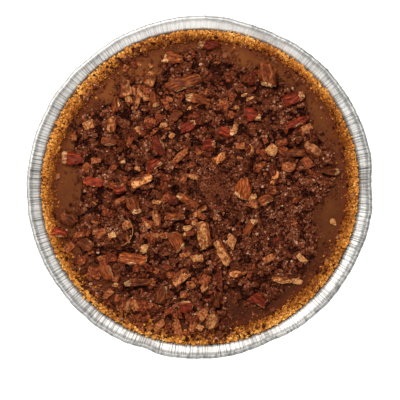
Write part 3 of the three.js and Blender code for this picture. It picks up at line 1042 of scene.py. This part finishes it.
@dataclass
class Filling:
    """The pumpkin filling, level on top, which meets the crust in a low ragged edge.

    Attributes:
        crust: The crust that it fills.
        top: Height of its top.
        columns: How finely it is divided round.
    """

    crust: Crust
    top: float = 24.6 * MM
    columns: int = 384

    def build(self) -> Piece:
        """Makes the filling in place of its plain solid."""
        edge = self.crust.inner_lip[0] - 1.2 * MM
        floor = self.crust.floor[1] + 0.3 * MM
        coarse = [(0, floor), (self.crust.foot_inside - 0.6 * MM, floor)]
        rim = [(edge + 0.4 * MM, self.top - 0.6 * MM), (edge + 0.6 * MM, self.top + 0.5 * MM)]
        level = drawn([(edge - 0.8 * MM, self.top + 0.1 * MM), (edge - 8 * MM, self.top)], 1 * MM)
        level += drawn([(edge - 11 * MM, self.top), (0, self.top)], 5 * MM)
        work = spun(coarse + rim + level, self.columns)
        edges = []
        for vert in work.verts:
            radius, angle = round_pie(vert)
            edges.append(smooth_step(edge - 6.5 * MM, edge - 0.5 * MM, radius))
            upper = smooth_step(20 * MM, 23.5 * MM, vert.co.z)
            share = upper * smooth_step(0.6 * edge, edge, radius)
            push = share * (self.crust.thinner(angle) + self.crust.ragged(angle))
            moved_out(vert, 1 + push / max(radius, 1 * MM))
            vert.co.z += upper * 0.22 * MM * cloud(vert.co, 13 * MM)
            vert.co = OVAL.moved(vert.co)
        piece = link(mesh_of(work, edge=edges), "filling", FillingFinish().material())
        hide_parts("pumpkin_filling")
        return piece


# The streusel


POWDER = ((11 * MM, 1 * MM), 13 * MM)


@dataclass
class Streusel:
    """The crumb topping: a rough core grown from its solid, and clumps and thousands of crumbs on it.

    Attributes:
        node: The solid that the core grows from.
        voxel: Width of the core's faces.
        lump: Height of the core's lumps.
        reach: Radius that most crumbs stay inside.
        clump_reach: Radius that the clumps stay inside.
        crumb_reach: Radius that all the crumbs stay inside.
        bare_top: Height under which nothing but filling lies under a crumb.
        patience: How many places are tried for each crumb.
        powder: Middle and spread of the place where the crumbs are as fine as powder.
        fine: Middle and spread of the place with small crumbs and few clumps.
        clod: Middle and spread of the large clod, which stands clear of the crumbs at its right.
        stray: Middle and spread of the place beside the core where crumbs lie on the filling.
        spills: Angle, share and spread of the stretches where crumbs lie over the crust.
        clumps: How many clumps of crumbs there are.
        kinds: Name, count, smallest and largest size, tone and its spread, of each kind of crumb.
        seed: Start of the random draws.
    """

    node: str = "streusel"
    voxel: float = 0.85 * MM
    lump: float = 1.5 * MM
    reach: float = 97 * MM
    clump_reach: float = 102 * MM
    crumb_reach: float = 103 * MM
    bare_top: float = 25.2 * MM
    patience: int = 20
    powder: tuple[Span, float] = POWDER
    fine: tuple[Span, float] = ((58 * MM, -24 * MM), 30 * MM)
    clod: tuple[Span, float] = ((-57 * MM, -30 * MM), 10 * MM)
    stray: tuple[Span, float] = ((77 * MM, -46 * MM), 13 * MM)
    spills: tuple[Triple, ...] = (
        (-138, 0.8, 9), (-122, 0.85, 14), (-83, 0.75, 10), (-100, 0.45, 20), (122, 0.3, 12),
    )
    clumps: int = 700
    kinds: tuple[tuple[str, int, float, float, float, float], ...] = (
        ("streusel_crumbs_dark", 7300, 1.0 * MM, 3.4 * MM, 0.3, 0.16),
        ("streusel_crumbs_brown", 8300, 0.8 * MM, 2.9 * MM, 0.48, 0.17),
        ("streusel_crumbs_light", 2700, 0.7 * MM, 2.1 * MM, 0.7, 0.15),
    )
    seed: int = 23

    def spill(self, degrees: float) -> float:
        """The share of the crust that crumbs cover at an angle."""
        total = sum(amount * bell(degrees, middle, spread) for middle, amount, spread in self.spills)
        return min(1.0, total)

    def hollow(self, x: float, y: float) -> float:
        """How deep the gap between the clumps is at a place, from 0 to 1."""
        (clod_x, clod_y), size = self.clod
        away = math.hypot(x - clod_x, y - clod_y)
        side = math.degrees(math.atan2(y - clod_y, x - clod_x))
        if size * 1.12 < away < size * 1.45 and -85 < side < 60:
            return 0.9
        calm = 1 - near(x, y, *self.powder) - 0.35 * near(x, y, *self.fine) - near(x, y, *self.clod)
        return max(0.0, calm) * smooth_step(-0.06, 0.24, -cloud(Vector((x, y, 0)), 6.4 * MM))

    def build(self) -> Piece:
        """Makes the core in place of its plain solid."""
        scratch = bpy.data.objects.new("streusel_scratch", mesh_of(solid_copy(self.node)))
        bpy.context.scene.collection.objects.link(scratch)
        remesh = scratch.modifiers.new("grid", "REMESH")
        remesh.mode = "VOXEL"
        remesh.voxel_size = self.voxel
        evaluated = scratch.evaluated_get(bpy.context.evaluated_depsgraph_get())
        fine = bmesh.new()
        fine.from_mesh(evaluated.to_mesh())
        evaluated.to_mesh_clear()
        bpy.data.objects.remove(scratch)
        soften(fine)
        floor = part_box(self.node)[0].z
        pit_shades = []
        for vert in fine.verts:
            hollow = self.hollow(vert.co.x, vert.co.y)
            crumb = cloud(vert.co, 1.5 * MM, 2)
            calm = 1 - 0.75 * near(vert.co.x, vert.co.y, *self.powder)
            high = smooth_step(floor + 0.1 * MM, floor + 0.7 * MM, vert.co.z)
            vert.co.z += high * self.lump * (0.4 * calm * crumb + 0.35 - hollow)
            vert.co.z = max(vert.co.z, floor)
            # Painted shade in the gaps between the clumps and in the low spots of the core.
            pit_shades.append(max(0.0, min(0.95, 0.9 * hollow - 0.6 * calm * crumb)))
        finish = CrumbBedFinish("streusel_bed", STREUSEL_STOPS, (0.012, 0.002, 0.001), 1.3 * MM)
        piece = link(mesh_of(fine, pit=pit_shades), "streusel_bed", finish.material())
        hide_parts(self.node)
        return piece

    def _wanted(self, x: float, y: float, core: Ground, rng: np.random.Generator) -> bool:
        """Draws whether a crumb lies at a place: surely on the core, seldom on the bare filling.

        Args:
            x: Its place.
            y: Its place.
            core: The plain core.
            rng: Source of the draw.

        Returns:
            Whether it lies there.
        """
        away = rng.normal(0, 3.0 * MM, 2)
        if rng.random() < 0.9 * self.hollow(x, y):
            return False
        if core.top(x + float(away[0]), y + float(away[1])) is not None:
            return True
        if core.top(0.94 * x, 0.94 * y) is not None and rng.random() < 0.5:
            return True
        degrees = math.degrees(math.atan2(y, x))
        edge = math.exp(-(((math.hypot(x, y) - self.reach) / (2.6 * MM)) ** 2))
        edge *= max(0.0, 0.3 + 0.9 * cloud(Vector((x, y, 5)), 13 * MM, 2))
        share = self.spill(degrees) + 0.45 * edge + (0.05 if math.hypot(x, y) < self.reach else 0.035)
        share += 0.3 * near(x, y, *self.stray)
        return rng.random() < share

    def heap(self, ground: Ground) -> Piece:
        """Lays the clumps of crumbs on the core.

        Args:
            ground: What they lie on.

        Returns:
            The clumps.
        """
        rng = np.random.default_rng(self.seed + 7)
        core = Ground(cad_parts[self.node])
        finish = CrumbFinish("streusel_clumps", STREUSEL_STOPS, blot=1.6 * MM, mottle=0.6)
        grains = Grains(finish, "streusel", GrainShape.CLUMP)
        while len(grains.rows) < self.clumps:
            _, x, y = disc_place(rng, self.clump_reach)
            calm = 0.97 * near(x, y, *self.powder) + 0.7 * near(x, y, *self.fine)
            top = ground.top(x, y)
            if rng.random() < calm or top is None or not self._wanted(x, y, core, rng):
                continue
            size = (2.2 + 3.4 * rng.random() ** 2.2) * MM
            flat = crumb_size(rng, size, (0.6, 0.95), (0.45, 0.7))
            tone = rng.normal(0.36, 0.13) + 0.12 * cloud(Vector((x, y, 0)), 12 * MM, 2)
            grains.add((x, y, top + 0.1 * size), flat, tone, rng.uniform(0, TURN))
        return grains.build(self.seed + 7, 8)

    def strew(self, ground: Ground, nuts: Ground) -> None:
        """Lays the crumbs on the core, thinning out beyond its edge.

        Args:
            ground: The core and what shows beside it.
            nuts: The pecan pieces, on which few crumbs lie.
        """
        rng = np.random.default_rng(self.seed)
        core = Ground(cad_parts[self.node])
        for number, (name, count, least, most, tone, spread) in enumerate(self.kinds):
            grains = Grains(CrumbFinish(name, STREUSEL_STOPS), "streusel")
            tries = 0
            while len(grains.rows) < count and tries < self.patience * count:
                tries += 1
                _, x, y = disc_place(rng, self.crumb_reach)
                if not self._wanted(x, y, core, rng):
                    continue
                top = ground.top(x, y)
                nut = nuts.top(x, y)
                if top is None or (nut is not None and rng.random() > 0.045):
                    continue
                top = max(top, nut or 0)
                powder = near(x, y, *self.powder)
                clod = near(x, y, *self.clod)
                small = 1 - 0.55 * powder - 0.3 * near(x, y, *self.fine) - 0.3 * clod
                size = least + (most * small - least) * rng.random() ** 1.8
                bare = top < self.bare_top and math.hypot(x, y) < self.reach
                size *= (1 if nut is None else 0.55) * (0.7 if bare else 1)
                flat = crumb_size(rng, size, (0.65, 1.0), (0.6, 0.9))
                lift = size * rng.uniform(-0.05, 0.35) * (1 - 0.6 * powder)
                shade = rng.normal(tone, spread) + 0.26 * cloud(Vector((x, y, 0)), 11 * MM, 2)
                # Crumbs are evened out in the powder and lighter on the clod; in the hollows they are
                # darkened as painted shade.
                shade += (0.5 - shade) * 0.6 * powder + 0.14 * clod - 0.4 * self.hollow(x, y)
                # A crumb just below and right of a nut lies where the nut's shadow falls: most such crumbs
                # are left out, and the rest get a painted shadow.
                beside = nut is None and nuts.top(x - 1.6 * MM, y + 1.6 * MM) is not None
                if beside and rng.random() < 0.6:
                    continue
                shade = min(max(shade, 0.27), 0.48) if bare else shade
                # Lighter crumbs in the fine stretch; painted shadow beside a nut.
                shade += 0.09 * near(x, y, *self.fine) - (0.2 if beside else 0)
                grains.add((x, y, top + lift), flat, min(1.0, max(0.0, shade)), rng.uniform(0, TURN))
            grains.build(self.seed + number)


# The pecans


@dataclass
class Pecans:
    """The chopped pecan pieces, each grown from its own solid.

    Attributes:
        cuts: How finely a solid's faces are divided.
        smoothings: How often the points are smoothed.
        warp: How far a piece is bent out of shape.
        furrow: Depth of the furrows along the skin.
        rough: Height of the roughness.
        lighter: Numbers of the pieces that are lighter than others of their tone.
        darker: Numbers of the pieces that are darker.
        skinned: Numbers of the pale pieces that lie skin side up.
        broken: For some pieces, by number, the direction of the broken side that shows, in degrees.
    """

    cuts: int = 5
    smoothings: int = 3
    warp: float = 1.1 * MM
    furrow: float = 0.42 * MM
    rough: float = 0.42 * MM
    lighter: tuple[int, ...] = (2, 17, 18, 21, 23, 28, 30, 42, 46, 56)
    darker: tuple[int, ...] = (1, 14, 19, 31, 32, 33, 43, 44, 48, 50, 52, 54, 55)
    skinned: tuple[int, ...] = (31, 44, 50)
    broken: dict[int, float] = field(default_factory=lambda: {
        1: 160, 2: 205, 6: 0, 7: -60, 8: -72, 9: 165, 10: -110, 11: 20, 12: -60, 13: -45, 15: 60,
        16: 0, 17: 10, 19: 30, 20: -30, 22: 90, 23: -80, 24: 170, 25: -85, 27: 150, 28: -140,
        29: -60, 31: -75, 33: 0, 34: -60, 36: -90, 38: 60, 40: -30, 42: -90, 43: 45, 48: 15,
        49: 100, 50: -80, 51: -90, 53: 15, 54: 180, 56: -90,
    })

    def build(self) -> list[Piece]:
        """Makes every piece in place of its plain solid."""
        finishes = {tone: NutFinish(tone).material() for tone in NutTone}
        names = sorted(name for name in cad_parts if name.startswith("pecan_"))
        return [self._piece(name, finishes) for name in names]

    def _piece(self, node: str, finishes: dict[NutTone, Material]) -> Piece:
        """Makes one piece.

        Args:
            node: Its solid.
            finishes: The material of each tone.

        Returns:
            The piece.
        """
        _, tone_name, number = node.split("_")
        tone = NutTone[tone_name.upper()]
        is_skin = tone not in (NutTone.TAN, NutTone.CREAM)
        work = solid_copy(node)
        middle = sum((vert.co for vert in work.verts), Vector()) / len(work.verts)
        long, wide = self._axes(work, middle)
        bmesh.ops.subdivide_edges(work, edges=work.edges, cuts=self.cuts, use_grid_fill=True)
        bmesh.ops.triangulate(work, faces=work.faces)
        for _ in range(self.smoothings):
            soften(work)
        low = min(vert.co.z for vert in work.verts)
        half_long = max(abs((vert.co - middle).dot(long)) for vert in work.verts)
        half_wide = max(abs((vert.co - middle).dot(wide)) for vert in work.verts)
        work.normal_update()
        flesh, pit_shades, moves = [], [], []
        for vert in work.verts:
            offset = vert.co - middle
            along, across = offset.dot(long) / half_long, offset.dot(wide) / half_wide
            lobes = Vector((along * half_long / (6 * MM) + int(number), across * half_wide / (1.7 * MM), 0))
            ridge = max(-1.0, min(1.0, 2.2 * cloud(lobes, 1.0, 2)))
            rough = cloud(vert.co, 1.2 * MM, 3) if is_skin else 1.6 * cloud(vert.co, 2.4 * MM, 4)
            bend = drift(vert.co / (5.5 * MM) + Vector((int(number), 0, 0)))
            up = smooth_step(low, low + 0.8 * MM, vert.co.z)
            furrow = self.furrow * ridge * (1.0 if is_skin else 0.35)
            out = vert.normal * up * (furrow + self.rough * rough)
            rounder = -0.12 * along * along * offset.dot(wide) * wide if is_skin else Vector()
            moves.append(out + rounder + self.warp * Vector((bend.x, bend.y, 0.5 * up * bend.z)))
            flesh.append(self._flesh(int(number), tone, offset, along, across, vert.normal, long))
            # Painted shade where the furrows and the roughness push the surface in.
            pit_shades.append(max(0.0, min(0.9, -0.3 * ridge * (1.0 if is_skin else 0.3) - 1.0 * rough)))
        grain = work.loops.layers.uv.new("grain")
        for face in work.faces:
            for corner in face.loops:
                offset = corner.vert.co - middle
                corner[grain].uv = (offset.dot(long) / (5 * MM) + int(number), offset.dot(wide) / (1.5 * MM))
        for vert, move in zip(work.verts, moves):
            vert.co += move
            vert.co.z = max(vert.co.z, low)
        bright = 0.65 + 0.25 * (int(number) in self.lighter) - 0.22 * (int(number) in self.darker)
        mesh = mesh_of(work, bright=[bright] * len(flesh), flesh=flesh, pit=pit_shades)
        piece = link(mesh, f"nut_{number}", finishes[tone])
        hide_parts(node)
        return piece

    @staticmethod
    def _axes(work: BMesh, middle: Vector) -> tuple[Vector, Vector]:
        """The level directions along and across a piece."""
        flat = np.array([(vert.co.x - middle.x, vert.co.y - middle.y) for vert in work.verts])
        _, directions = np.linalg.eigh(flat.T @ flat)
        x, y = directions[:, 1] * (1 if directions[0, 1] > 0 else -1)
        return Vector((x, y, 0)), Vector((-y, x, 0))

    def _flesh(
        self,
        number: int,
        tone: NutTone,
        offset: Vector,
        along: float,
        across: float,
        normal: Vector,
        long: Vector,
    ) -> float:
        """How broken the nut is at a point, from 0 for skin to 1 for flesh.

        Args:
            number: The piece's number.
            tone: Its tone.
            offset: The point, from the piece's middle.
            along: The point's share of the half length.
            across: The point's share of the half width.
            normal: The surface's direction there.
            long: The direction along the piece.

        Returns:
            The share of flesh.
        """
        if tone in (NutTone.TAN, NutTone.CREAM):
            skin_edge = smooth_step(0.0, 0.8, across if number % 2 else -across)
            far_edge = smooth_step(0.5, 1.0, -across if number % 2 else across)
            bare = 0.32 if number in self.skinned else 0.92
            return bare - 0.85 * skin_edge - 0.5 * far_edge - 0.45 * smooth_step(0.6, 1.0, abs(along))
        end = smooth_step(0.75, 1.0, abs(normal.dot(long)))
        side = 0.0
        if number in self.broken:
            toward = polar(1, math.radians(self.broken[number]), 0)
            reach = abs(toward.dot(long)) * abs(along) + (1 - abs(toward.dot(long))) * abs(across)
            facing = offset.normalized().dot(toward) if offset.length > 0 else 0
            side = smooth_step(0.28, 0.58, facing * reach)
        return max(0.5 * end, side)


@dataclass
class NutChips:
    """The small pecan chips: some where the photograph shows them, the rest scattered by chance.

    Attributes:
        count: How many are scattered.
        patience: How many places are tried for each.
        reach: Radius that they stay inside.
        inside: Radius beyond which they are rare.
        bare_top: Height under which nothing but filling lies under a chip.
        tones: The tones that a scattered chip may have.
        chances: How likely each of them is.
        slot: The record's material slot.
        placed: Place, length, width, turn in degrees and tone of each chip that the photograph shows.
        thick: Places and spreads where more chips lie.
    """

    count: int = 290
    patience: int = 60
    reach: float = 102 * MM
    inside: float = 95 * MM
    bare_top: float = 25.4 * MM
    tones: tuple[float, ...] = (0.12, 0.26, 0.4, 0.56, 0.72)
    chances: tuple[float, ...] = (0.29, 0.32, 0.23, 0.11, 0.05)
    slot: str = "streusel"
    placed: tuple[tuple[float, ...], ...] = (
        (23.2, 39.1, 6.5, 3.4, 75, 0.95), (-11, 5.9, 8, 4, 65, 0.68),
        (-74.3, 41.7, 6.7, 5.4, 20, 0.85), (35.2, -6.8, 6, 4, 30, 0.9), (35, -11, 6, 4, -20, 0.7),
        (59, 13.6, 8, 5.4, 10, 0.68), (48.1, 23.8, 6.7, 5.4, 50, 0.9),
        (88.8, -23.2, 4.7, 3.4, -50, 1.0), (20.8, -36, 8, 6.5, 60, 0.85),
        (-1.5, -47.1, 7.4, 5.4, 10, 0.9), (-37.5, -41.1, 6, 4.7, 40, 1.0),
        (67.7, -47.4, 6.7, 3.4, -45, 0.95), (65, -62.8, 7.4, 4, -10, 0.98),
        (45.6, -48, 8, 4.5, 20, 0.7), (-13, 21, 12, 4, 45, 0.66), (-42.4, 35.3, 11, 4, 0, 0.2),
        (30.4, 61.8, 5.4, 2, 20, 0.95), (33.4, 59, 5.4, 2, 25, 0.95),
        (-14.7, -95.6, 12, 6, -70, 0.66), (-79, -49, 8, 5, 30, 0.5), (-70, -57, 9, 6, -20, 0.55),
        (-64, -51, 10, 6, 60, 0.5), (-62, -71, 7, 4, 40, 0.72), (-50, -80, 8, 5, 15, 0.6),
        (-44, -78, 7, 5, -60, 0.68), (-37, -80, 8, 6, 70, 0.42), (-27, -92, 9, 5, 35, 0.72),
        (-5, -93, 7, 5, 80, 0.7), (7, -90, 8, 5, -40, 0.6), (-87, -40, 7, 4, 50, 0.62),
        (-40.8, -91.6, 5, 4, 10, 0.45), (-51.4, 17.2, 2.6, 2.2, 0, 1.0),
        (-56, -65, 3.2, 2.6, 0, 0.98), (-53, -67, 3.4, 2.6, 50, 0.3),
        (-59.5, -66, 3.4, 2.4, -30, 0.3), (13, -61, 16, 4, 90, 0.3), (-8, -27, 5, 3.5, 20, 0.95),
        (-4, -24, 4, 3, -40, 0.9),
    )
    thick: tuple[Triple, ...] = (
        (-42, 62, 24), (-10, 52, 24), (20, 42, 20), (-58, -32, 16), (-20, -78, 26), (-45, -85, 14),
        (-18, -94, 13), (-66, -64, 12), (6, -93, 11), (-12, -42, 24), (38, 2, 18), (-80, -28, 14),
        (60, 20, 20), (-45, 10, 24),
    )
    seed: int = 31

    def build(self, ground: Ground, nuts: Ground) -> Piece:
        """Lays the chips.

        Args:
            ground: What they lie on.
            nuts: The large pieces, on which none lie.

        Returns:
            The chips.
        """
        rng = np.random.default_rng(self.seed)
        finish = CrumbFinish("pecan_chips", CHIP_STOPS, roughness=0.6, blot=1.5 * MM, mottle=1.5)
        grains = Grains(finish, self.slot, GrainShape.CHIP, 0.7)
        for x, y, length, width, turn, tone in self.placed:
            top = ground.top(x * MM, y * MM) or 25 * MM
            size = (length * 1.1 * MM, width * 1.1 * MM, min(3.4, 0.75 * width) * MM)
            grains.add((x * MM, y * MM, top + 0.35 * size[2]), size, tone - 0.2, math.radians(turn))
        tries = 0
        while len(grains.rows) < self.count + len(self.placed) and tries < self.patience * self.count:
            tries += 1
            radius, x, y = disc_place(rng, self.reach)
            share = 0.12 if radius < self.inside else -0.1
            share += sum(0.6 * near(x, y, (px * MM, py * MM), spread * MM) for px, py, spread in self.thick)
            share -= 0.8 * near(x, y, *POWDER)
            if rng.random() > share or nuts.top(x, y) is not None:
                continue
            top = ground.top(x, y)
            if top is None or (top < self.bare_top and share < 0.4):
                continue
            length = (2.6 + 5.6 * rng.random() ** 1.4) * MM
            width = length * rng.uniform(0.45, 0.8)
            height = min(3.0 * MM, width * rng.uniform(0.65, 1.0))
            tone = rng.choice(self.tones, p=self.chances) + rng.normal(0, 0.06)
            grains.add((x, y, top + 0.25 * height), (length, width, height), tone, rng.uniform(0, TURN))
        return grains.build(self.seed, 9)


@dataclass
class Sliver:
    """The thin pale sliver that stands in an arc at the right of the large clod.

    Attributes:
        middle: Middle of its arc.
        radius: Radius of the arc.
        start: Where the arc starts, in degrees.
        sweep: How far it goes round, in degrees.
        section: Width and height of the strip.
        tone: Its tone.
    """

    middle: Span = (-55.7 * MM, -28.6 * MM)
    radius: float = 10.9 * MM
    start: float = -78
    sweep: float = 124
    section: Span = (0.5 * MM, 1.3 * MM)
    tone: float = 0.74

    def build(self, ground: Ground) -> Piece:
        """Makes the sliver, laid on what is under it.

        Args:
            ground: What it lies on.

        Returns:
            The sliver.
        """
        width, height = self.section
        work = bmesh.new()
        corners = [(-0.5, 0), (0.5, 0), (0.4, 1), (-0.4, 1)]
        verts = [work.verts.new((self.radius + a * width, 0, b * height)) for a, b in corners]
        face = work.faces.new(verts)
        turn = Matrix.Rotation(math.radians(self.start), 3, "Z")
        bmesh.ops.rotate(work, verts=work.verts, matrix=turn)
        bmesh.ops.spin(work, geom=[face], axis=(0, 0, 1), steps=32, angle=math.radians(self.sweep))
        bmesh.ops.translate(work, verts=work.verts, vec=(*self.middle, 0))
        bmesh.ops.recalc_face_normals(work, faces=work.faces)
        tops = [ground.top(vert.co.x, vert.co.y) or 26 * MM for vert in work.verts]
        level = float(np.median(tops))
        for vert, top in zip(work.verts, tops):
            vert.co.z += 0.7 * level + 0.3 * top + 1.1 * MM
        finish = CrumbFinish("pale_sliver", CHIP_STOPS, roughness=0.5)
        mesh = mesh_of(work, tone=[self.tone] * len(tops))
        return link(mesh, "pale_sliver", finish.material())


# The studio


@dataclass
class Studio:
    """The camera straight above the pie, a pale floor and soft light from the top left.

    Attributes:
        image_side: Width and height of the photograph, in pixels.
        rim_width: Diameter of the tin in the photograph, in pixels.
        rim_middle: Middle of the tin in the photograph, in pixels from its top left corner.
        distance: From the camera to the rim.
    """

    image_side: float = 400
    rim_width: float = 345.6
    rim_middle: Span = (200.1, 187.3)
    distance: float = 1.1

    def camera(self) -> None:
        """Makes the camera at the photograph's place."""
        low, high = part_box("foil_tin")
        diameter = 0.5 * ((high.x - low.x) + (high.y - low.y))
        pixel = diameter / self.rim_width
        data = bpy.data.cameras.new("camera")
        data.sensor_width = 36
        data.lens = data.sensor_width * self.distance / (pixel * self.image_side)
        camera = bpy.data.objects.new("camera", data)
        right, down = (pixel * (0.5 * self.image_side - middle) for middle in self.rim_middle)
        camera.location = (right, -down, high.z + self.distance)
        bpy.context.scene.collection.objects.link(camera)
        bpy.context.scene.camera = camera

    def floor(self) -> None:
        """Lays the pale floor."""
        work = bmesh.new()
        bmesh.ops.create_grid(work, x_segments=4, y_segments=4, size=3)
        bmesh.ops.translate(work, verts=work.verts, vec=(0, 0, -0.2 * MM))
        floor = bpy.data.objects.new("floor", mesh_of(work))
        glow = {"Emission_Color": (1, 1, 1), "Emission_Strength": 0.6}
        pale = Shader("pale_floor").finish(Base_Color=(0.9, 0.9, 0.9), Roughness=0.9, **glow)
        floor.data.materials.append(pale)
        bpy.context.scene.collection.objects.link(floor)

    def lights(self) -> None:
        """Hangs a soft light at the top left and a weaker one at the bottom, and lights the room."""
        self._panel("key", (-0.3, 0.58, 1.25), 0.6, 23.0)
        self._panel("fill", (0.2, -0.95, 0.95), 0.9, 7.5)
        world = bpy.data.worlds.new("room")
        world.use_nodes = True
        background = world.node_tree.nodes["Background"]
        background.inputs["Color"].default_value = (0.97, 0.98, 1.0, 1.0)
        background.inputs["Strength"].default_value = 0.42
        bpy.context.scene.world = world

    @staticmethod
    def _panel(name: str, place: Triple, side: float, power: float) -> None:
        """Hangs a square light that faces the pie.

        Args:
            name: Its name.
            place: Where it hangs.
            side: Its width.
            power: Its power, in watts.
        """
        data = bpy.data.lights.new(name, "AREA")
        data.shape = "SQUARE"
        data.size = side
        data.energy = power
        light = bpy.data.objects.new(name, data)
        light.location = place
        light.rotation_euler = Vector(place).to_track_quat("Z", "Y").to_euler()
        bpy.context.scene.collection.objects.link(light)

    def build(self) -> None:
        """Sets the whole studio up."""
        self.camera()
        self.floor()
        self.lights()
        bpy.context.scene.view_settings.view_transform = "Standard"
        bpy.context.scene.view_settings.look = "None"


def main() -> None:
    """Builds the pie piece by piece."""
    logging.basicConfig(level=logging.INFO, format="%(name)s: %(message)s")
    Studio().build()
    tin = FoilTin().build()
    crust = Crust()
    wall = crust.build()
    filling = Filling(crust).build()
    streusel = Streusel()
    bed = streusel.build()
    pecans = Pecans().build()
    lumps = crust.heap(Ground(wall, filling))
    clumps = streusel.heap(Ground(wall, filling, bed))
    ground = Ground(wall, filling, bed, clumps, lumps)
    chips = NutChips().build(ground, Ground(*pecans))
    Sliver().build(ground)
    crust.strew(Ground(tin, wall, filling, lumps), streusel)
    streusel.strew(ground, Ground(chips, *pecans))


if __name__ == "__main__":
    main()
